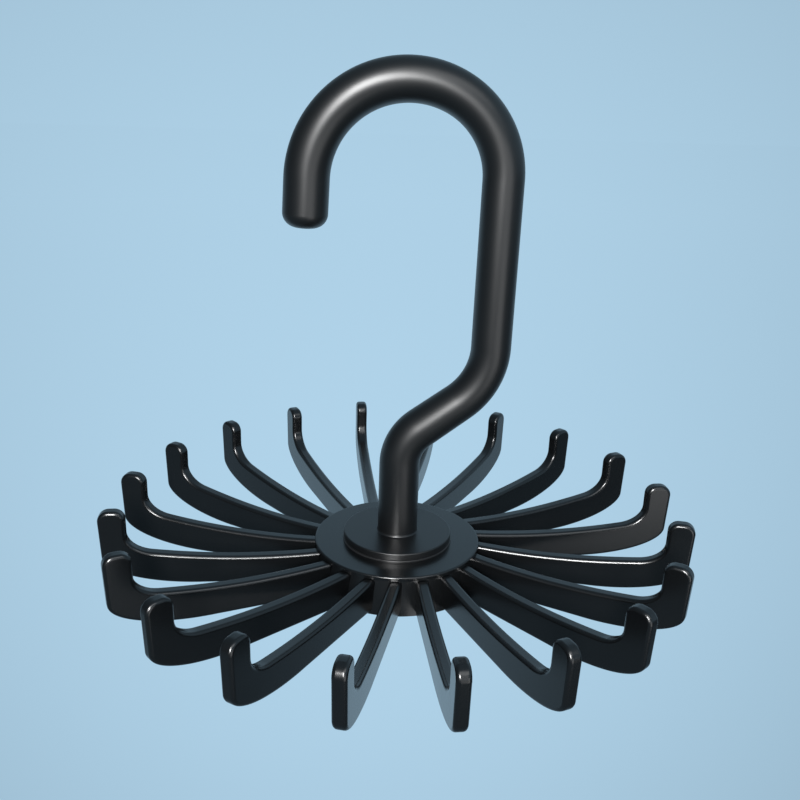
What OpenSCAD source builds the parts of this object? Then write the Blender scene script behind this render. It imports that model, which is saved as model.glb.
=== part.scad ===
// Rotating tie hanger: a swan-necked closet hook that carries a wheel of upturned tie arms.
// Sizes are in millimetres. The wheel turns about the Z axis and stands on the underside of its hub at z = 0.
// The hook lies in the XZ plane, and its long upright leg is on the +X side.

/* [Wheel] */
// Number of tie arms
arm_count = 20; // [16:1:20]
// Distance from the axis to the outer face of an arm, along the arm
wheel_r = 70; // [64:0.5:90]
// Sideways offset of each arm from the axis, as in a pinwheel
arm_offset = 3.6; // [0:0.1:5]
// Turn of the first arm from the plane of the hook, in degrees
wheel_turn = 4.5; // [0:0.5:17]

/* [Arm] */
// Thickness of an arm
arm_t = 3; // [2.4:0.1:4]
// Height of the upturned tips above the base
tip_top_z = 20.1; // [17:0.1:30]
// Width of an upturned tip, along the arm
tip_w = 6.2; // [5:0.1:8]
// Rounding of a tip on the hub's side
tip_inner_round = 2.4; // [0.5:0.1:2.6]
// Rounding of a tip on the outer side
tip_outer_round = 2.6; // [0.5:0.1:2.8]
// How far the heel stands back from the top of the tip
tip_lean = 0.4; // [0:0.1:1.5]
// Length of the rounding between the tie seat and the tip
seat_round_len = 6.9; // [2:0.1:9]
// Height of the rounding between the tie seat and the tip
seat_round_h = 4.8; // [2:0.1:8]
// Slope of the tie seat where that rounding begins, in degrees
seat_rise = 7.6; // [3:0.1:12]
// Height of the tie seat at its outer end
seat_z = 9.4; // [8:0.1:10.5]
// How far the tie seat lies below the hub plate's underside at the hub
seat_drop = 0.2; // [0.1:0.1:1.2]
// Length of the rounded heel, along the arm
heel_len = 23.2; // [10:0.1:28]
// Height of the rounded heel
heel_h = 7.4; // [5:0.1:8]
// Height of the heel's lowest point above the base
heel_z = 1.1; // [0.4:0.1:2]
// Height of an arm's lower edge at the hub, above the base
root_z = 0.6; // [0.2:0.1:1.2]

/* [Arm root] */
// Thickness of the tongue that enters the drum
tongue_t = 2; // [1.4:0.1:2.2]
// Distance from the axis to the bead at the end of the tongue, along the arm
bead_x = 13.5; // [13:0.1:15]
// Radius of the bead that keeps the arm from pulling out
bead_r = 1.3; // [1.15:0.05:1.4]
// Height of the slots' floor above the base
slot_floor = 1.2; // [0.8:0.1:2.5]
// Clearance round pieces that are pressed or slid together
fit_gap = 0.05; // [0.02:0.01:0.1]

/* [Hub] */
// How far the plate that closes the hub reaches past the drum's top
plate_lip = 0.4; // [0:0.1:2]
// Thickness of the plate
plate_t = 1; // [0.8:0.1:2]
// Rounding of the plate's upper rim
plate_round = 0.4; // [0.1:0.05:0.6]
// Radius of the drum at its top
drum_top_r = 19.6; // [18.8:0.1:20]
// How much the drum widens from its top to its base, in radius
drum_flare = 1.3; // [0:0.1:3]
// Height of the drum
drum_h = 8.5; // [8:0.1:11]
// Radius of the recess in the drum's underside
recess_r = 9.5; // [8.8:0.1:10.5]
// Number of pegs that hold the plate to the drum
peg_count = 4; // [3:1:6]
// Radius of a peg
peg_r = 1.2; // [0.8:0.1:1.5]
// Length of a peg
peg_len = 2.8; // [1.5:0.1:3]

/* [Collar and bush] */
// Radius of the collar
collar_r = 13; // [10:0.1:16]
// Thickness of the collar
collar_t = 1.6; // [1.2:0.1:4]
// Rounding of the collar's upper rim
collar_round = 0.3; // [0.1:0.05:0.5]
// Radius of the thrust washer under the collar
thrust_washer_r = 13.2; // [8:0.1:15]
// Thickness of the thrust washer
thrust_washer_t = 0.4; // [0.3:0.1:1]
// Rounding of the thrust washer's upper rim
thrust_washer_round = 0.15; // [0.05:0.05:0.25]
// Outer radius of the bush
bush_r = 6; // [5.2:0.1:6.8]
// Radius of the bush's flange
flange_r = 8.4; // [7.2:0.1:8.6]
// Thickness of the bush's flange
flange_t = 1; // [0.6:0.1:1.5]
// Free play between the turning faces
axial_play = 0.1; // [0.05:0.05:0.3]
// Radial clearance between the spindle and the bush
running_gap = 0.05; // [0.02:0.01:0.1]

/* [Screw] */
// Radius of the screw's shank
screw_r = 1.75; // [1.25:0.05:2]
// Length of the screw under its head
screw_len = 14; // [8:0.5:20]
// Radius of the screw's head
head_r = 3.6; // [3:0.1:4.5]
// Height of the screw's head
head_h = 2.2; // [1.6:0.1:2.5]
// Rounding of the screw's head
head_round = 0.9; // [0.3:0.1:1.2]
// Length of the cross recess in the head
cross_len = 4; // [2.5:0.1:4.5]
// Width of the cross recess
cross_w = 0.9; // [0.5:0.1:1.2]
// Depth of the cross recess
cross_deep = 1.3; // [0.6:0.1:1.5]
// Radius of the retaining washer
washer_r = 7; // [5.5:0.1:8]
// Thickness of the retaining washer
washer_t = 1; // [0.6:0.1:1.5]
// Height of the screw's head above the base
head_z = 0.5; // [0.2:0.1:1]

/* [Hook] */
// Radius of the spindle that turns in the bush
spindle_r = 4; // [3:0.1:4.4]
// Radius of the hook's rod at the stem
stem_r = 4.8; // [4.4:0.1:6]
// Radius of the hook's rod at the swan neck and the upright leg
neck_r = 4.6; // [4.4:0.1:6]
// Radius of the hook's rod at the crook
crook_r = 4.8; // [4.4:0.1:6]
// Radius of the hook's rod at the crook's free end
end_r = 5; // [4.4:0.05:6]
// How far the stem widens at its foot, in radius
foot_flare = 0.3; // [0.1:0.1:1]
// Height of the stem's widened foot
foot_h = 0.7; // [0.3:0.1:2]
// Length of the upright stem above the collar
stem_len = 17.3; // [10:0.1:40]
// Bend radius where the neck leaves the stem
out_bend_r = 11.5; // [7:0.1:20]
// Angle by which the neck leaves the stem
out_angle = 53; // [30:0.5:70]
// Length of the sloping stretch of the neck
slope_len = 10.9; // [5:0.1:30]
// Bend radius where the neck turns back up
back_bend_r = 17.1; // [8:0.1:30]
// Angle by which the neck turns back up
back_angle = 52.5; // [30:0.5:70]
// Length of the upright leg
leg_len = 37.4; // [20:0.1:80]
// Centreline radius of the crook's first stretch
crook_first_r = 19.8; // [18:0.1:25]
// Angle of the crook's first stretch
crook_first_angle = 63; // [30:1:90]
// Centreline radius of the crook's second stretch
crook_second_r = 21.7; // [18:0.1:25]
// Angle of the crook's second stretch
crook_second_angle = 115; // [80:0.5:130]
// Length of the straight end of the crook
end_len = 7.4; // [2:0.1:20]
// Rounding of the crook's free end
end_round = 3.1; // [1:0.1:4]

/* [Hidden] */
$fn = 64;
black = [0.07, 0.075, 0.08];
wheel_black = [0.09, 0.095, 0.1];
bush_black = [0.17, 0.17, 0.18];
steel = [0.62, 0.63, 0.65];
arc_steps = 8;
heel_steps = 16;
seat_steps = 12;
overcut = 1;

arm_pitch = 360 / arm_count;
plate_r = drum_top_r + plate_lip;
drum_base_r = drum_top_r + drum_flare;
hub_top = drum_h + plate_t;
seat_hub_z = drum_h - seat_drop;
bead_reach = norm([bead_x, arm_offset]) - bead_r - fit_gap;
peg_circle_r = (bush_r + bead_reach) / 2;
bore_r = bush_r + fit_gap;
flange_z = head_z + head_h + washer_t + axial_play;
recess_h = flange_z + flange_t;
washer_z = head_z + head_h;
spindle_z = washer_z + washer_t;
collar_z = hub_top + thrust_washer_t + axial_play;
stem_z = collar_z + collar_t;
thrust_bore_r = spindle_r + running_gap + 0.4;
pilot_r = screw_r + fit_gap;
pilot_h = screw_len - washer_t + 1;

// Every other stretch of the hook is slimmer by join_gap, and reaches into its neighbours by join_len.
join_gap = 0.02;
join_len = 0.3;

// One row for each stretch of the hook: straight length or bend radius, bend angle and side (+1 is towards +X),
// and the rod's radius at its two ends. The last stretch ends in the crook's rounded end.
STRAIGHT = 0;
hook_runs = [
    [stem_len, STRAIGHT, 0, stem_r, stem_r],
    [out_bend_r, out_angle, 1, stem_r, stem_r],
    [slope_len, STRAIGHT, 0, stem_r, neck_r],
    [back_bend_r, back_angle, -1, neck_r, neck_r],
    [leg_len, STRAIGHT, 0, neck_r, neck_r],
    [crook_first_r, crook_first_angle, -1, neck_r, neck_r],
    [crook_second_r, crook_second_angle, -1, crook_r, crook_r],
    [end_len, STRAIGHT, 0, end_r, end_r],
];

function two_digits(n) = str(n < 10 ? "0" : "", n);
arm_names = [for (i = [1 : arm_count]) str("tie_arm_", two_digits(i))];

// Points of an elliptic arc about a centre, with its two radii and its start and end angles.
function arc(centre, radii, from, to, steps) = [
    for (i = [0 : steps])
        let (a = from + (to - from) * i / steps)
            centre + [radii[0] * cos(a), radii[1] * sin(a)]
];

// Points of the sagging tie seat, from the hub outwards.
function seat(x0, z0, x1, z1, sag, steps) = [
    for (i = [0 : steps])
        let (u = i / steps)
            [x0 + (x1 - x0) * u, z0 + (z1 - z0) * u - 4 * sag * u * (1 - u)]
];

// Side view of an arm, with x along the arm and y upwards.
module arm_outline() {
    tip_in = wheel_r - tip_w;
    seat_turn = atan(seat_round_len / seat_round_h * tan(seat_rise));
    seat_end = tip_in - seat_round_len * (1 - sin(seat_turn));
    seat_sag = ((seat_end - drum_top_r) * tan(seat_rise) - (seat_z - seat_hub_z)) / 4;
    heel_x = wheel_r - tip_lean;
    start = drum_top_r - overcut;
    polygon(concat(
        [[start, seat_hub_z]],
        seat(drum_top_r, seat_hub_z, seat_end, seat_z, seat_sag, seat_steps),
        arc([tip_in - seat_round_len, seat_z + seat_round_h * cos(seat_turn)],
            [seat_round_len, seat_round_h], seat_turn - 90, 0, arc_steps),
        arc([tip_in + tip_inner_round, tip_top_z - tip_inner_round],
            [tip_inner_round, tip_inner_round], 180, 90, arc_steps),
        arc([wheel_r - tip_outer_round, tip_top_z - tip_outer_round],
            [tip_outer_round, tip_outer_round], 90, 0, arc_steps),
        arc([heel_x - heel_len, heel_z + heel_h], [heel_len, heel_h], 0, -90, heel_steps),
        [[start, root_z]]
    ));
}

// An upright slab in the plane of an arm, centred on the arm's middle plane.
module arm_slab(x0, x1, thickness, z0, z1) {
    translate([x0, arm_offset - thickness / 2, z0])
        cube([x1 - x0, thickness, z1 - z0]);
}

// Root of an arm, or the slot for it when it is grown by a gap.
module root(grow, z0, z1) {
    arm_slab(bead_x, drum_base_r, tongue_t + 2 * grow, z0, z1);
    translate([bead_x, arm_offset, z0])
        cylinder(h = z1 - z0, r = bead_r + grow);
}

module arm_slot() {
    root(fit_gap, slot_floor, drum_h + overcut);
    arm_slab(drum_top_r, drum_base_r + overcut, tongue_t + 2 * fit_gap, slot_floor, drum_h + overcut);
}

module tie_arm(i) {
    color(wheel_black)
    rotate([0, 0, wheel_turn + arm_pitch * i]) {
        difference() {
            translate([0, arm_offset + arm_t / 2, 0])
                rotate([90, 0, 0])
                    linear_extrude(height = arm_t)
                        arm_outline();
            drum_body(fit_gap);
        }
        root(0, slot_floor + fit_gap, seat_hub_z - fit_gap);
    }
}

// The drum's outer shape, or the space for it when it is grown by a gap.
module drum_body(grow) {
    cylinder(h = drum_h, r1 = drum_base_r + grow, r2 = drum_top_r + grow, $fn = 128);
}

module hub_drum() {
    color(wheel_black)
    difference() {
        drum_body(0);
        translate([0, 0, -overcut])
            cylinder(h = drum_h + 2 * overcut, r = bore_r);
        translate([0, 0, -overcut])
            cylinder(h = recess_h + overcut, r = recess_r);
        for (i = [0 : arm_count - 1])
            rotate([0, 0, wheel_turn + arm_pitch * i])
                arm_slot();
        pegs(fit_gap, peg_len + fit_gap * 4);
    }
}

// The plate's pegs, or the holes for them when they are grown by a gap.
module pegs(grow, len) {
    for (i = [0 : peg_count - 1])
        rotate([0, 0, 360 / peg_count * i])
            translate([peg_circle_r, 0, drum_h - len])
                cylinder(h = len + (grow > 0 ? overcut : 0), r = peg_r + grow);
}

// A flat ring whose upper outer rim is rounded.
module rounded_ring(inner, outer, height, rim) {
    rotate_extrude($fn = 128)
        polygon(concat(
            [[inner, 0], [outer, 0]],
            arc([outer - rim, height - rim], [rim, rim], 0, 90, arc_steps / 2),
            [[inner, height]]
        ));
}

module hub_plate() {
    color(wheel_black) {
        translate([0, 0, drum_h])
            rounded_ring(bore_r, plate_r, plate_t, plate_round);
        pegs(0, peg_len);
    }
}

module pivot_bush() {
    color(bush_black)
    difference() {
        union() {
            translate([0, 0, flange_z])
                cylinder(h = flange_t, r = flange_r);
            translate([0, 0, flange_z])
                cylinder(h = hub_top - flange_z, r = bush_r);
        }
        translate([0, 0, flange_z - overcut])
            cylinder(h = hub_top - flange_z + 2 * overcut, r = spindle_r + running_gap);
    }
}

module thrust_washer() {
    color(bush_black)
    translate([0, 0, hub_top])
        rounded_ring(thrust_bore_r, thrust_washer_r, thrust_washer_t, thrust_washer_round);
}

module collar_disc() {
    color(black)
    translate([0, 0, collar_z])
        rounded_ring(spindle_r + fit_gap, collar_r, collar_t, collar_round);
}

module retaining_washer() {
    color(steel)
    translate([0, 0, washer_z])
        difference() {
            cylinder(h = washer_t, r = washer_r);
            translate([0, 0, -overcut])
                cylinder(h = washer_t + 2 * overcut, r = pilot_r);
        }
}

// Pan head screw that points up, with a cross recess in its underside.
module retaining_screw() {
    color(steel)
    translate([0, 0, head_z])
        difference() {
            union() {
                mirror([0, 0, 1])
                    translate([0, 0, -head_h])
                        rounded_ring(0, head_r, head_h, head_round);
                translate([0, 0, head_h])
                    cylinder(h = screw_len, r = screw_r);
            }
            for (turn = [0, 90])
                rotate([0, 0, turn])
                    translate([-cross_len / 2, -cross_w / 2, -overcut])
                        cube([cross_len, cross_w, cross_deep + overcut]);
        }
}

// A bend of the rod that starts upwards at the origin and curves towards side * X, longer by extra at both ends.
module bend(radius, angle, side, rod_r, extra) {
    extra_angle = extra / radius * 180 / PI;
    translate([side * radius, 0, 0])
        rotate([90, 0, side > 0 ? 180 : 0])
            rotate([0, 0, -extra_angle])
                rotate_extrude(angle = angle + 2 * extra_angle, $fn = 128)
                    translate([radius, 0])
                        circle(r = rod_r);
}

// The straight free end of the rod, rounded at its rim.
module rod_end(len, rod_r) {
    rotate_extrude()
        union() {
            square([rod_r, len]);
            square([rod_r - end_round, len + end_round]);
            translate([rod_r - end_round, len])
                intersection() {
                    circle(r = end_round);
                    square(end_round);
                }
        }
}

// The rest of the rod from stretch i on, which starts upwards at the origin.
module rod_from(i) {
    size = hook_runs[i][0];
    angle = hook_runs[i][1];
    side = hook_runs[i][2];
    slim = i % 2 == 0;
    less = slim ? join_gap : 0;
    extra = slim ? join_len : 0;
    if (i == len(hook_runs) - 1) {
        rod_end(size, hook_runs[i][4]);
    } else if (angle == STRAIGHT) {
        back = i == 0 ? 0 : extra;
        translate([0, 0, -back])
            cylinder(h = size + back + extra, r1 = hook_runs[i][3] - less, r2 = hook_runs[i][4] - less);
        translate([0, 0, size])
            rod_from(i + 1);
    } else {
        bend(size, angle, side, hook_runs[i][3] - less, extra);
        translate([side * size, 0, 0])
            rotate([0, side * angle, 0])
                translate([-side * size, 0, 0])
                    rod_from(i + 1);
    }
}

module hanging_hook() {
    color(black)
    difference() {
        union() {
            translate([0, 0, stem_z])
                rod_from(0);
            translate([0, 0, stem_z])
                cylinder(h = foot_h, r1 = stem_r + foot_flare, r2 = stem_r);
            translate([0, 0, spindle_z])
                cylinder(h = stem_z - spindle_z + overcut, r = spindle_r);
        }
        translate([0, 0, spindle_z - overcut])
            cylinder(h = pilot_h + overcut, r = pilot_r);
    }
}

hanging_hook();
collar_disc();
thrust_washer();
hub_plate();
hub_drum();
pivot_bush();
retaining_washer();
retaining_screw();
for (i = [0 : arm_count - 1])
    tie_arm(i);
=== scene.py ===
"""Looks of the rotating tie hanger: black moulded plastic in a pale blue studio."""
import math

import bmesh
import bpy
from mathutils import Matrix, Quaternion, Vector


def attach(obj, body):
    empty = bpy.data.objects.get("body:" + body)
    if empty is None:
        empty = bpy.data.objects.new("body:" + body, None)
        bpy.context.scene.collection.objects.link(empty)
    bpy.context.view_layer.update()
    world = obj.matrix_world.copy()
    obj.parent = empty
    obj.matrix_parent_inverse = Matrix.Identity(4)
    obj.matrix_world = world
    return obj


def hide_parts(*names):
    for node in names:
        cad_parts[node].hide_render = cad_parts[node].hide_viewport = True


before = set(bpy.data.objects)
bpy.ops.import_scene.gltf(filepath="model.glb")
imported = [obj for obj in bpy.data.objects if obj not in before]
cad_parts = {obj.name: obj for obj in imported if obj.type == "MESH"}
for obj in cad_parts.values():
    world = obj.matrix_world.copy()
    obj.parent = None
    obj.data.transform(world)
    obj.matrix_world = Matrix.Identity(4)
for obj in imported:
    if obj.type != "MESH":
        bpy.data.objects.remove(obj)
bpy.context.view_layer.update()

MM = 0.001

# Camera: where it stands and how it is aimed, worked out from the photograph's perspective
SENSOR = 36.0
CAMERA_LENS = 42.62
CAMERA_DISTANCE = 207.44 * MM
CAMERA_HEIGHT = 119.17 * MM
CAMERA_PITCH = math.radians(19.69)
CAMERA_YAW = math.radians(-0.10)
CAMERA_ROLL = math.radians(1.92)
OBJECT_TURN = math.radians(2.96)

# Stage and light: azimuths count from straight ahead of the camera, and grow to its right
BACKDROP = (0.45, 0.67, 0.84)
# Pool behind the hanger: lighting in the world, a painted pool of light in the floor's glow
POOL_WAY = (0.0, 0.90, -0.44)
POOL_START = 0.76
POOL_EDGE = 0.77
FLOOR_Z = -0.32
FLOOR_SIZE = 12.0
FLOOR_SHADE = 0.5
# Share of the floor's own glow near the hanger and far from it, between two distances
GLOW_NEAR = 0.6
GLOW_FAR = 3.0
GLOW_NEAR_SHARE = 0.96
GLOW_FAR_SHARE = 1.0
# What the gloss shows: where its level behind the hanger sets in and is full along +Y, that level, its change
# between two heights, and the levels at the far left and the far right
WORLD_GLOSS = {
    "reach": (0.55, 0.97),
    "back": 0.45,
    "heights": (0.2, 1.0, 1.0, 0.5),
    "left": 0.12,
    "right": 0.7,
}
# The floor's levels are a painted reflection: glow that only glossy rays see
FLOOR_GLOSS = {
    "reach": (0.1, 0.8),
    "back": 0.95,
    "heights": (-0.6, -0.25, 1.0, 0.7),
    "left": 0.26,
    "right": 0.12,
}
LIGHT_REACH = 0.8
LIGHT_AIM = Vector((0, 0, 0.06))
# Lights: name, azimuth, elevation, size across and up, power, and tilt in its own plane
LIGHTS = [
    ("key", 187, 22, (0.15, 0.34), 12.0, 26),
    ("side_strip", 147, -12, (0.44, 0.56), 1.3, 0),
    ("top_glow", 158, 45, (0.85, 0.4), 1.9, 0),
]

# Plastic: its black, and how rough the hook and the wheel are
BLACK = (0.0022, 0.0025, 0.0028)
HOOK_ROUGHNESS = 0.37
WHEEL_ROUGHNESS = 0.25
GLOSS_DRIFT = 0.03
BLACK_DRIFT = 0.2
BUMP_DEPTH = 0.02 * MM

# Hook: rows of its centreline with straight length or bend radius, bend angle, side (+1 is towards +X)
# and the rod's radius at both ends
STEM_Z = 11.6
SPINDLE_Z = 3.7
SPINDLE_R = 4.0
PILOT_R = 1.8
PILOT_H = 14.0
END_ROUND = 3.1
FOOT_FLARE = 0.3
FOOT_H = 0.7
STRAIGHT = 0
HOOK_RUNS = [
    (17.3, STRAIGHT, 0, 4.78, 4.78),
    (11.5, 53, 1, 4.78, 4.78),
    (10.9, STRAIGHT, 0, 4.78, 4.6),
    (17.1, 52.5, -1, 4.6, 4.58),
    (37.4, STRAIGHT, 0, 4.58, 4.58),
    (19.8, 63, -1, 4.58, 4.7),
    (21.7, 115, -1, 4.7, 4.98),
    (7.4, STRAIGHT, 0, 4.98, 4.98),
]
RING_STEP = 0.8
ROD_SIDES = 64
FOOT_STEPS = 8
END_STEPS = 12

# Hub: the rings that are turned about the axis, with their radii, foot, height and rim rounding
HUB_PLATE = (6.05, 20.0, 8.5, 1.0, 0.4)
THRUST_WASHER = (4.45, 13.2, 9.5, 0.4, 0.15)
COLLAR = (4.05, 13.0, 10.0, 1.6, 0.3)
RING_SIDES = 192
PEG_COUNT = 4
PEG_CIRCLE_R = 9.31
PEG_R = 1.2
PEG_LEN = 2.8
PEG_SUNK = 0.2
PEG_SIDES = 32

# Arms: their side view, with x along the arm
ARM_COUNT = 20
WHEEL_R = 70.0
WHEEL_TURN = 4.5
ARM_OFFSET = 3.6
ARM_T = 3.0
ARM_EDGE = 0.85
ARM_START = 18.7
ARM_ROOT_STEP = 0.2
DRUM_TOP_R = 19.6
SEAT_HUB_Z = 8.3
SEAT_Z = 9.4
SEAT_RISE = math.radians(7.6)
SEAT_ROUND_LEN = 6.9
SEAT_ROUND_H = 4.8
TIP_W = 6.2
TIP_TOP_Z = 20.1
TIP_INNER_ROUND = 2.4
TIP_OUTER_ROUND = 2.6
TIP_LEAN = 0.4
HEEL_LEN = 23.2
HEEL_H = 7.4
HEEL_Z = 1.1
ROOT_Z = 0.6
BEAD_X = 13.5
BEAD_R = 1.3
TONGUE_T = 2.0
TONGUE_Z = (1.25, 8.25)
TONGUE_SUNK = 1.0
EDGE_STEPS = 5
SEAT_STEPS = 32
SEAT_ROUND_STEPS = 20
TIP_STEPS = 12
HEEL_STEPS = 30
BEAD_STEPS = 18


def make_camera():
    """A camera with the photograph's view, turned with the object's own frame."""
    data = bpy.data.cameras.new("camera")
    data.sensor_width = SENSOR
    data.lens = CAMERA_LENS
    data.clip_start = 0.01
    data.clip_end = 50
    camera = bpy.data.objects.new("camera", data)
    bpy.context.scene.collection.objects.link(camera)
    forward = Vector((
        math.sin(CAMERA_YAW) * math.cos(CAMERA_PITCH),
        math.cos(CAMERA_YAW) * math.cos(CAMERA_PITCH),
        -math.sin(CAMERA_PITCH),
    ))
    level = Vector((math.cos(CAMERA_YAW), -math.sin(CAMERA_YAW), 0))
    upright = level.cross(forward)
    right = math.cos(CAMERA_ROLL) * level + math.sin(CAMERA_ROLL) * upright
    up = -math.sin(CAMERA_ROLL) * level + math.cos(CAMERA_ROLL) * upright
    pose = Matrix((right, up, -forward)).transposed().to_4x4()
    pose.translation = Vector((0, -CAMERA_DISTANCE, CAMERA_HEIGHT))
    camera.matrix_world = Matrix.Rotation(-OBJECT_TURN, 4, "Z") @ pose
    bpy.context.scene.camera = camera


def new_material(name):
    """A node material with its Principled shader."""
    material = bpy.data.materials.new(name)
    material.use_nodes = True
    tree = material.node_tree
    return material, tree, tree.nodes["Principled BSDF"]


def node(tree, kind, values=None, **settings):
    """A new node with its properties, and with socket values by name."""
    made = tree.nodes.new(kind)
    for name, value in settings.items():
        setattr(made, name, value)
    for name, value in (values or {}).items():
        made.inputs[name].default_value = value
    return made


def wire(tree, source, output, target, socket):
    tree.links.new(source.outputs[output], target.inputs[socket])


def scaled(tree, source, output, low, high):
    """A map of a 0 to 1 output to the range from low to high."""
    spread = node(tree, "ShaderNodeMapRange", {"To Min": low, "To Max": high})
    wire(tree, source, output, spread, "Value")
    return spread


def drifting_colour(tree, source, dark, light):
    """A colour that drifts between two with a noise."""
    tint = node(tree, "ShaderNodeMix", data_type="RGBA")
    tint.inputs["A"].default_value = (*dark, 1)
    tint.inputs["B"].default_value = (*light, 1)
    wire(tree, source, "Fac", tint, "Factor")
    return tint


def turned_marks(tree, place, scale, distortion, strength):
    """Faint rings about the axis, as turning leaves them."""
    marks = node(
        tree,
        "ShaderNodeTexWave",
        {"Scale": scale, "Distortion": distortion},
        wave_type="RINGS",
        rings_direction="Z",
    )
    wire(tree, place, "Object", marks, "Vector")
    bump = node(tree, "ShaderNodeBump", {"Strength": strength, "Distance": BUMP_DEPTH})
    wire(tree, marks, "Fac", bump, "Height")
    return bump


def black_plastic(name, colour, roughness):
    """Satin moulded plastic: a very fine grain, a slow change of gloss and a slight flow in its black."""
    material, tree, shader = new_material(name)
    shader.inputs["IOR"].default_value = 1.55
    place = node(tree, "ShaderNodeTexCoord")
    flow = node(tree, "ShaderNodeTexNoise", {"Scale": 60.0, "Detail": 3.0})
    wire(tree, place, "Object", flow, "Vector")
    gloss = scaled(tree, flow, "Fac", roughness - GLOSS_DRIFT, roughness + GLOSS_DRIFT)
    wire(tree, gloss, "Result", shader, "Roughness")
    dark = [(1 - BLACK_DRIFT) * c for c in colour]
    light = [(1 + BLACK_DRIFT) * c for c in colour]
    tint = drifting_colour(tree, flow, dark, light)
    wire(tree, tint, "Result", shader, "Base Color")
    grain = node(tree, "ShaderNodeTexNoise", {"Scale": 2200.0, "Detail": 2.0})
    wire(tree, place, "Object", grain, "Vector")
    bump = node(tree, "ShaderNodeBump", {"Strength": 0.05, "Distance": BUMP_DEPTH})
    wire(tree, grain, "Fac", bump, "Height")
    wire(tree, bump, "Normal", shader, "Normal")
    return material


def dark_acetal(name):
    """Matt dark bearing plastic with faint turning marks about the axis."""
    material, tree, shader = new_material(name)
    place = node(tree, "ShaderNodeTexCoord")
    bump = turned_marks(tree, place, 700.0, 1.5, 0.08)
    wire(tree, bump, "Normal", shader, "Normal")
    cloud = node(tree, "ShaderNodeTexNoise", {"Scale": 150.0, "Detail": 3.0})
    wire(tree, place, "Object", cloud, "Vector")
    gloss = scaled(tree, cloud, "Fac", 0.3, 0.42)
    wire(tree, gloss, "Result", shader, "Roughness")
    tint = drifting_colour(tree, cloud, (0.006, 0.006, 0.0065), (0.011, 0.011, 0.0115))
    wire(tree, tint, "Result", shader, "Base Color")
    return material


def plated_steel(name):
    """Zinc-plated steel: bright, with fine turned rings, cloudy plating and duller patches."""
    material, tree, shader = new_material(name)
    shader.inputs["Metallic"].default_value = 1.0
    place = node(tree, "ShaderNodeTexCoord")
    cloud = node(tree, "ShaderNodeTexNoise", {"Scale": 260.0, "Detail": 4.0})
    wire(tree, place, "Object", cloud, "Vector")
    gloss = scaled(tree, cloud, "Fac", 0.2, 0.42)
    wire(tree, gloss, "Result", shader, "Roughness")
    tint = drifting_colour(tree, cloud, (0.5, 0.51, 0.52), (0.68, 0.68, 0.66))
    wire(tree, tint, "Result", shader, "Base Color")
    bump = turned_marks(tree, place, 900.0, 0.8, 0.06)
    wire(tree, bump, "Normal", shader, "Normal")
    return material


def pool(tree, place, output):
    """Brightness of the backdrop by direction from the hanger: a soft pool of light behind it; in the world
    it is lighting, on the floor it is a painted pool of light in its glow.
    """
    way = node(tree, "ShaderNodeVectorMath", operation="NORMALIZE")
    wire(tree, place, output, way, 0)
    along = node(tree, "ShaderNodeVectorMath", operation="DOT_PRODUCT")
    wire(tree, way, "Vector", along, 0)
    along.inputs[1].default_value = POOL_WAY
    level = node(
        tree,
        "ShaderNodeMapRange",
        {"From Min": POOL_START, "From Max": 1.0, "To Min": POOL_EDGE, "To Max": 1.0},
    )
    wire(tree, along, "Value", level, "Value")
    return level


def reflected(tree, place, output, reach, back, heights, left, right):
    """Brightness that the gloss shows: behind the hanger, where it changes with height, and to its sides; on
    the floor's glow this is a painted reflection.
    """
    way = node(tree, "ShaderNodeVectorMath", operation="NORMALIZE")
    wire(tree, place, output, way, 0)
    axes = node(tree, "ShaderNodeSeparateXYZ")
    wire(tree, way, "Vector", axes, "Vector")
    behind = node(
        tree,
        "ShaderNodeMapRange",
        {"From Min": reach[0], "From Max": reach[1], "To Min": 0.0, "To Max": back},
    )
    behind.interpolation_type = "SMOOTHSTEP"
    wire(tree, axes, "Y", behind, "Value")
    across = node(
        tree,
        "ShaderNodeMapRange",
        {"From Min": -1.0, "From Max": 1.0, "To Min": left, "To Max": right},
    )
    wire(tree, axes, "X", across, "Value")
    height = node(
        tree,
        "ShaderNodeMapRange",
        {"From Min": heights[0], "From Max": heights[1], "To Min": heights[2], "To Max": heights[3]},
    )
    wire(tree, axes, "Z", height, "Value")
    backed = node(tree, "ShaderNodeMath", operation="MULTIPLY")
    wire(tree, behind, "Result", backed, 0)
    wire(tree, height, "Result", backed, 1)
    level = node(tree, "ShaderNodeMath", operation="ADD")
    wire(tree, backed, "Value", level, 0)
    wire(tree, across, "Result", level, 1)
    return level


def seen_or_reflected(tree, seen, reflection):
    """The first level for what the camera sees, and the second for every other ray."""
    path = node(tree, "ShaderNodeLightPath")
    choice = node(tree, "ShaderNodeMix", data_type="FLOAT")
    wire(tree, path, "Is Camera Ray", choice, "Factor")
    wire(tree, reflection, "Value", choice, "A")
    wire(tree, seen, "Result", choice, "B")
    return choice


def build_world():
    """A pale blue studio, bright behind the hanger and dim in front of it."""
    world = bpy.data.worlds.new("studio")
    bpy.context.scene.world = world
    world.use_nodes = True
    tree = world.node_tree
    background = tree.nodes["Background"]
    place = node(tree, "ShaderNodeTexCoord")
    seen = pool(tree, place, "Generated")
    reflection = reflected(tree, place, "Generated", **WORLD_GLOSS)
    level = seen_or_reflected(tree, seen, reflection)
    background.inputs["Color"].default_value = (*BACKDROP, 1)
    wire(tree, level, "Result", background, "Strength")


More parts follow.
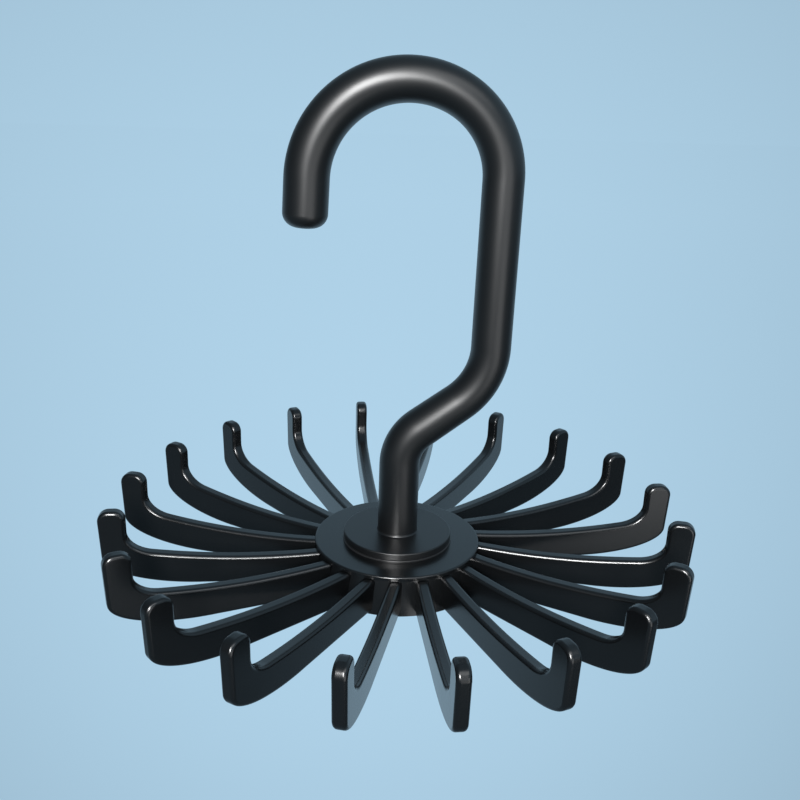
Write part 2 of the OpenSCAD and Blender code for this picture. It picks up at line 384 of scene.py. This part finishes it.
def studio_light(name, azimuth, elevation, size, power, tilt):
    """A soft box at an azimuth and elevation seen from the hanger, aimed at it, tilted in its own plane."""
    data = bpy.data.lights.new(name, "AREA")
    data.shape = "RECTANGLE"
    data.size = size[0]
    data.size_y = size[1]
    data.energy = power
    lamp = bpy.data.objects.new(name, data)
    bpy.context.scene.collection.objects.link(lamp)
    a = math.radians(azimuth) + OBJECT_TURN
    e = math.radians(elevation)
    way = Vector((math.sin(a) * math.cos(e), math.cos(a) * math.cos(e), math.sin(e)))
    lamp.location = LIGHT_AIM + LIGHT_REACH * way
    lamp.rotation_mode = "QUATERNION"
    aimed = (-way).to_track_quat("-Z", "Y")
    lamp.rotation_quaternion = aimed @ Quaternion((0, 0, 1), math.radians(tilt))


def build_floor():
    """The plain pale floor, well below the hanger, which hangs free in use. Its glow is a painted pool of
    light for the camera and a painted reflection for glossy rays.
    """
    mesh = bpy.data.meshes.new("floor")
    half = FLOOR_SIZE / 2
    mesh.from_pydata(
        [(-half, -half, FLOOR_Z), (half, -half, FLOOR_Z), (half, half, FLOOR_Z), (-half, half, FLOOR_Z)],
        [],
        [(0, 1, 2, 3)],
    )
    floor = bpy.data.objects.new("floor", mesh)
    bpy.context.scene.collection.objects.link(floor)
    material, tree, shader = new_material("floor_paper")
    shader.inputs["Base Color"].default_value = (*[FLOOR_SHADE * c for c in BACKDROP], 1)
    shader.inputs["Roughness"].default_value = 0.9
    place = node(tree, "ShaderNodeTexCoord")
    # Painted pool of light: the floor's glow seen by the camera is brighter behind and below the hanger
    seen = pool(tree, place, "Object")
    # Painted reflection: the floor's glow as glossy rays see it
    reflection = reflected(tree, place, "Object", **FLOOR_GLOSS)
    level = seen_or_reflected(tree, seen, reflection)
    glow = node(tree, "ShaderNodeEmission", {"Color": (*BACKDROP, 1)})
    wire(tree, level, "Result", glow, "Strength")
    path = node(tree, "ShaderNodeLightPath")
    lit = node(tree, "ShaderNodeMath", operation="MAXIMUM")
    wire(tree, path, "Is Camera Ray", lit, 0)
    wire(tree, path, "Is Glossy Ray", lit, 1)
    length = node(tree, "ShaderNodeVectorMath", operation="LENGTH")
    wire(tree, place, "Object", length, 0)
    fade = node(
        tree,
        "ShaderNodeMapRange",
        {"From Min": GLOW_NEAR, "From Max": GLOW_FAR, "To Min": GLOW_NEAR_SHARE, "To Max": GLOW_FAR_SHARE},
    )
    wire(tree, length, "Value", fade, "Value")
    share = node(tree, "ShaderNodeMath", operation="MULTIPLY")
    wire(tree, lit, "Value", share, 0)
    wire(tree, fade, "Result", share, 1)
    mixed = node(tree, "ShaderNodeMixShader")
    wire(tree, share, "Value", mixed, "Fac")
    tree.links.new(shader.outputs["BSDF"], mixed.inputs[1])
    tree.links.new(glow.outputs["Emission"], mixed.inputs[2])
    wire(tree, mixed, "Shader", tree.nodes["Material Output"], "Surface")
    floor.data.materials.append(material)


def dress(name, material):
    """Gives a CAD node its material."""
    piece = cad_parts[name]
    if not piece.material_slots:
        piece.data.materials.append(material)
    for place in piece.material_slots:
        place.link = "OBJECT"
        place.material = material


def add_piece(name, mesh, body, replaced, material):
    """A new piece that stands for a CAD node."""
    piece = bpy.data.objects.new(name, mesh)
    bpy.context.scene.collection.objects.link(piece)
    mesh.materials.clear()
    mesh.materials.append(material)
    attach(piece, body)
    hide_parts(replaced)
    return piece


class Shell:
    """Points with their normals, and faces, in millimetres."""

    def __init__(self):
        self.points = []
        self.normals = []
        self.faces = []

    def row(self, points, normals):
        start = len(self.points)
        self.points += points
        self.normals += normals
        return list(range(start, start + len(points)))

    def band(self, low, high):
        """Faces between two closed rows of points."""
        for k in range(len(low)):
            n = (k + 1) % len(low)
            self.faces.append((low[k], low[n], high[n], high[k]))

    def mesh(self, name):
        made = bpy.data.meshes.new(name)
        made.from_pydata([MM * Vector(point) for point in self.points], [], self.faces)
        made.update()
        work = bmesh.new()
        work.from_mesh(made)
        bmesh.ops.recalc_face_normals(work, faces=work.faces)
        work.to_mesh(made)
        work.free()
        made.polygons.foreach_set("use_smooth", [True] * len(made.polygons))
        made.normals_split_custom_set_from_vertices(self.normals)
        return made


def swept(shell, rings, sides, closed):
    """A round skin over rings: centre, heading in XZ, radius, normal out and along, and joined or not."""
    previous = None
    first = None
    for centre, turn, radius, out, along, joined in rings:
        across = Vector((math.cos(turn), 0, -math.sin(turn)))
        ahead = Vector((math.sin(turn), 0, math.cos(turn)))
        angles = [2 * math.pi * k / sides for k in range(sides)]
        ways = [math.cos(a) * across + math.sin(a) * Vector((0, 1, 0)) for a in angles]
        row = shell.row(
            [Vector(centre) + radius * way for way in ways],
            [(out * way + along * ahead).normalized() for way in ways],
        )
        if joined:
            shell.band(previous, row)
        previous = row
        first = first or row
    if not closed:
        shell.faces.append(tuple(reversed(first)))
        shell.faces.append(tuple(previous))


def ring_rows(inner, outer, foot, height, rim, x=0.0, y=0.0):
    """Rows of a flat ring whose upper outer rim is rounded."""
    top = foot + height
    corner = (outer - rim, top - rim)
    rows = [
        (inner, foot, 0, -1, False),
        (outer, foot, 0, -1, True),
        (outer, foot, 1, 0, False),
    ]
    for i in range(EDGE_STEPS + 1):
        a = math.radians(90) * i / EDGE_STEPS
        out, up = math.cos(a), math.sin(a)
        rows.append((corner[0] + rim * out, corner[1] + rim * up, out, up, True))
    rows += [
        (inner, top, 0, 1, True),
        (inner, top, -1, 0, False),
        (inner, foot, -1, 0, True),
    ]
    return [((x, y, z), 0.0, r, out, along, joined) for r, z, out, along, joined in rows]


def turned_ring(node_name, sizes, body, material, pegs=0):
    """A turned ring that stands for a CAD node, with the pegs under it."""
    shell = Shell()
    swept(shell, ring_rows(*sizes), RING_SIDES, True)
    for i in range(pegs):
        a = 2 * math.pi * i / pegs
        x, y = PEG_CIRCLE_R * math.cos(a), PEG_CIRCLE_R * math.sin(a)
        foot = sizes[2]
        rings = [
            ((x, y, foot - PEG_LEN), 0.0, PEG_R, 0, -1, False),
            ((x, y, foot - PEG_LEN), 0.0, PEG_R, 1, 0, False),
            ((x, y, foot + PEG_SUNK), 0.0, PEG_R, 1, 0, True),
        ]
        swept(shell, rings, PEG_SIDES, False)
    name = node_name + "_moulded"
    return add_piece(name, shell.mesh(name), body, node_name, material)


def arm_side_view():
    """Points of an arm's outline, from the hub along the tie seat, over the tip and back under the heel."""
    def arc(cx, cz, rx, rz, start, end, steps):
        return [
            (
                cx + rx * math.cos(math.radians(start + (end - start) * i / steps)),
                cz + rz * math.sin(math.radians(start + (end - start) * i / steps)),
            )
            for i in range(steps + 1)
        ]

    tip_in = WHEEL_R - TIP_W
    bend = math.atan(SEAT_ROUND_LEN / SEAT_ROUND_H * math.tan(SEAT_RISE))
    seat_end = tip_in - SEAT_ROUND_LEN * (1 - math.sin(bend))
    seat_len = seat_end - DRUM_TOP_R
    sag = (seat_len * math.tan(SEAT_RISE) - (SEAT_Z - SEAT_HUB_Z)) / 4
    heel_x = WHEEL_R - TIP_LEAN
    near = ARM_START + ARM_ROOT_STEP
    points = [(ARM_START, SEAT_HUB_Z), (near, SEAT_HUB_Z)]
    for i in range(SEAT_STEPS + 1):
        u = i / SEAT_STEPS
        points.append((
            DRUM_TOP_R + seat_len * u,
            SEAT_HUB_Z + (SEAT_Z - SEAT_HUB_Z) * u - 4 * sag * u * (1 - u),
        ))
    points += arc(
        tip_in - SEAT_ROUND_LEN,
        SEAT_Z + SEAT_ROUND_H * math.cos(bend),
        SEAT_ROUND_LEN,
        SEAT_ROUND_H,
        math.degrees(bend) - 90,
        0,
        SEAT_ROUND_STEPS,
    )[1:]
    inner, outer = TIP_INNER_ROUND, TIP_OUTER_ROUND
    points += arc(tip_in + inner, TIP_TOP_Z - inner, inner, inner, 180, 90, TIP_STEPS)
    points += arc(WHEEL_R - outer, TIP_TOP_Z - outer, outer, outer, 90, 0, TIP_STEPS)
    points += arc(heel_x - HEEL_LEN, HEEL_Z + HEEL_H, HEEL_LEN, HEEL_H, 0, -90, HEEL_STEPS)
    points += [(near, ROOT_Z), (ARM_START, ROOT_Z)]
    return points


def outward(points):
    """Normals of a closed outline that runs clockwise, each the mean of its two sides' normals."""
    sides = []
    for (x0, z0), (x1, z1) in zip(points, points[1:] + points[:1]):
        length = math.hypot(x1 - x0, z1 - z0)
        sides.append(((z0 - z1) / length, (x1 - x0) / length))
    normals = []
    for before, after in zip(sides[-1:] + sides[:-1], sides):
        x, z = before[0] + after[0], before[1] + after[1]
        length = math.hypot(x, z)
        normals.append((x / length, z / length))
    return normals


def rounded_slab(shell, points, thickness, edge, place):
    """A slab with the given outline and rounded edges, put in place by a function of (x, y, z)."""
    normals = outward(points)
    half = thickness / 2 - edge
    rows = []
    for side in (-1, 1):
        angles = [math.radians(90) * i / EDGE_STEPS for i in range(EDGE_STEPS + 1)]
        for a in sorted(angles, reverse=side < 0):
            inset = edge * (1 - math.cos(a))
            y = side * (half + edge * math.sin(a))
            rows.append(shell.row(
                [place(x - inset * nx, y, z - inset * nz) for (x, z), (nx, nz) in zip(points, normals)],
                [place(math.cos(a) * nx, side * math.sin(a), math.cos(a) * nz, True) for nx, nz in normals],
            ))
    for low, high in zip(rows, rows[1:]):
        shell.band(low, high)
    shell.faces.append(tuple(reversed(rows[0])))
    shell.faces.append(tuple(rows[-1]))


def tongue_plan():
    """Plan of the tongue and of the bead at its end, which sit in the drum's slot."""
    half = TONGUE_T / 2
    start = math.asin(half / BEAD_R)
    points = []
    for i in range(BEAD_STEPS + 1):
        a = start + (2 * math.pi - 2 * start) * i / BEAD_STEPS
        points.append((BEAD_X + BEAD_R * math.cos(a), BEAD_R * math.sin(a)))
    end = ARM_START + TONGUE_SUNK
    return points + [(end, -half), (end, half)]


def build_arm(number, material):
    """One tie arm as a smooth moulded slab, with its tongue and bead."""
    turn = Matrix.Rotation(math.radians(WHEEL_TURN + 360 / ARM_COUNT * (number - 1)), 3, "Z")

    def place(x, y, z, direction=False):
        return turn @ Vector((x, y + (0 if direction else ARM_OFFSET), z))

    shell = Shell()
    rounded_slab(shell, arm_side_view(), ARM_T, ARM_EDGE, place)
    plan = tongue_plan()
    rows = []
    for z, way in ((TONGUE_Z[0], -1), (TONGUE_Z[1], 1)):
        rows.append(shell.row(
            [place(x, y, z) for x, y in plan],
            [place(x - BEAD_X, y, 0, True).normalized() for x, y in plan],
        ))
    shell.band(*rows)
    shell.faces.append(tuple(reversed(rows[0])))
    shell.faces.append(tuple(rows[1]))
    node_name = "tie_arm_%02d" % number
    name = node_name + "_moulded"
    return add_piece(name, shell.mesh(name), "wheel", node_name, material)


def hook_path():
    """Rings of the hook's centreline, from the stem's foot to the crook's end: point, heading and radius."""
    point = Vector((0, 0, STEM_Z))
    heading = 0.0
    rings = []
    for size, angle, side, r0, r1 in HOOK_RUNS:
        length = size if angle == STRAIGHT else size * math.radians(angle)
        steps = max(2, round(length / RING_STEP))
        middle = point + side * size * Vector((math.cos(heading), 0, -math.sin(heading)))
        for i in range(steps + 1):
            share = i / steps
            if angle == STRAIGHT:
                turn = heading
                here = point + share * length * Vector((math.sin(heading), 0, math.cos(heading)))
            else:
                turn = heading + side * share * math.radians(angle)
                here = middle - side * size * Vector((math.cos(turn), 0, -math.sin(turn)))
            if i < steps:
                rings.append((here, turn, r0 + (r1 - r0) * share))
        point, heading = here, turn
    rings.append((point, heading, HOOK_RUNS[-1][4]))
    return rings


def build_hook(material):
    """The hanging hook as one smooth swept rod with its flared foot, its spindle and the screw's hole."""
    path = hook_path()
    rings = [
        ((0, 0, SPINDLE_Z + PILOT_H), 0.0, PILOT_R, -1, 0, False),
        ((0, 0, SPINDLE_Z), 0.0, PILOT_R, -1, 0, True),
        ((0, 0, SPINDLE_Z), 0.0, PILOT_R, 0, -1, False),
        ((0, 0, SPINDLE_Z), 0.0, SPINDLE_R, 0, -1, True),
        ((0, 0, SPINDLE_Z), 0.0, SPINDLE_R, 1, 0, False),
        ((0, 0, STEM_Z), 0.0, SPINDLE_R, 1, 0, True),
        ((0, 0, STEM_Z), 0.0, SPINDLE_R, 0, -1, False),
        ((0, 0, STEM_Z), 0.0, path[0][2] + FOOT_FLARE, 0, -1, True),
    ]
    for i in range(FOOT_STEPS + 1):
        a = math.radians(90) * i / FOOT_STEPS
        wider = FOOT_FLARE * (1 - math.sin(a))
        z = STEM_Z + FOOT_H * (1 - math.cos(a))
        slope = Vector((FOOT_H * math.sin(a), FOOT_FLARE * math.cos(a))).normalized()
        rings.append(((0, 0, z), 0.0, path[0][2] + wider, slope[0], slope[1], i > 0))
    clear_of_foot = path[math.ceil(FOOT_H / RING_STEP) + 1:]
    rings += [(here, turn, radius, 1, 0, True) for here, turn, radius in clear_of_foot]
    end, heading, radius = path[-1]
    along = Vector((math.sin(heading), 0, math.cos(heading)))
    for i in range(1, END_STEPS + 1):
        a = math.radians(90) * i / END_STEPS
        rings.append((
            end + END_ROUND * math.sin(a) * along,
            heading,
            radius - END_ROUND * (1 - math.cos(a)),
            math.cos(a),
            math.sin(a),
            True,
        ))
    shell = Shell()
    swept(shell, rings, ROD_SIDES, False)
    name = "hanging_hook_moulded"
    return add_piece(name, shell.mesh(name), "hanger", "hanging_hook", material)


make_camera()
build_world()
build_floor()
hook_black = black_plastic("hook_black", BLACK, HOOK_ROUGHNESS)
wheel_black = black_plastic("wheel_black", BLACK, WHEEL_ROUGHNESS)
bearing_black = dark_acetal("bearing_black")
plated = plated_steel("plated_steel")
build_hook(hook_black)
turned_ring("collar_disc", COLLAR, "hanger", hook_black)
turned_ring("thrust_washer", THRUST_WASHER, "wheel", bearing_black)
turned_ring("hub_plate", HUB_PLATE, "wheel", wheel_black, PEG_COUNT)
for number in range(1, ARM_COUNT + 1):
    build_arm(number, wheel_black)
dress("hub_drum", wheel_black)
dress("pivot_bush", bearing_black)
dress("retaining_washer", plated)
dress("retaining_screw", plated)
for light in LIGHTS:
    studio_light(*light)

bpy.context.scene.view_settings.view_transform = "Standard"
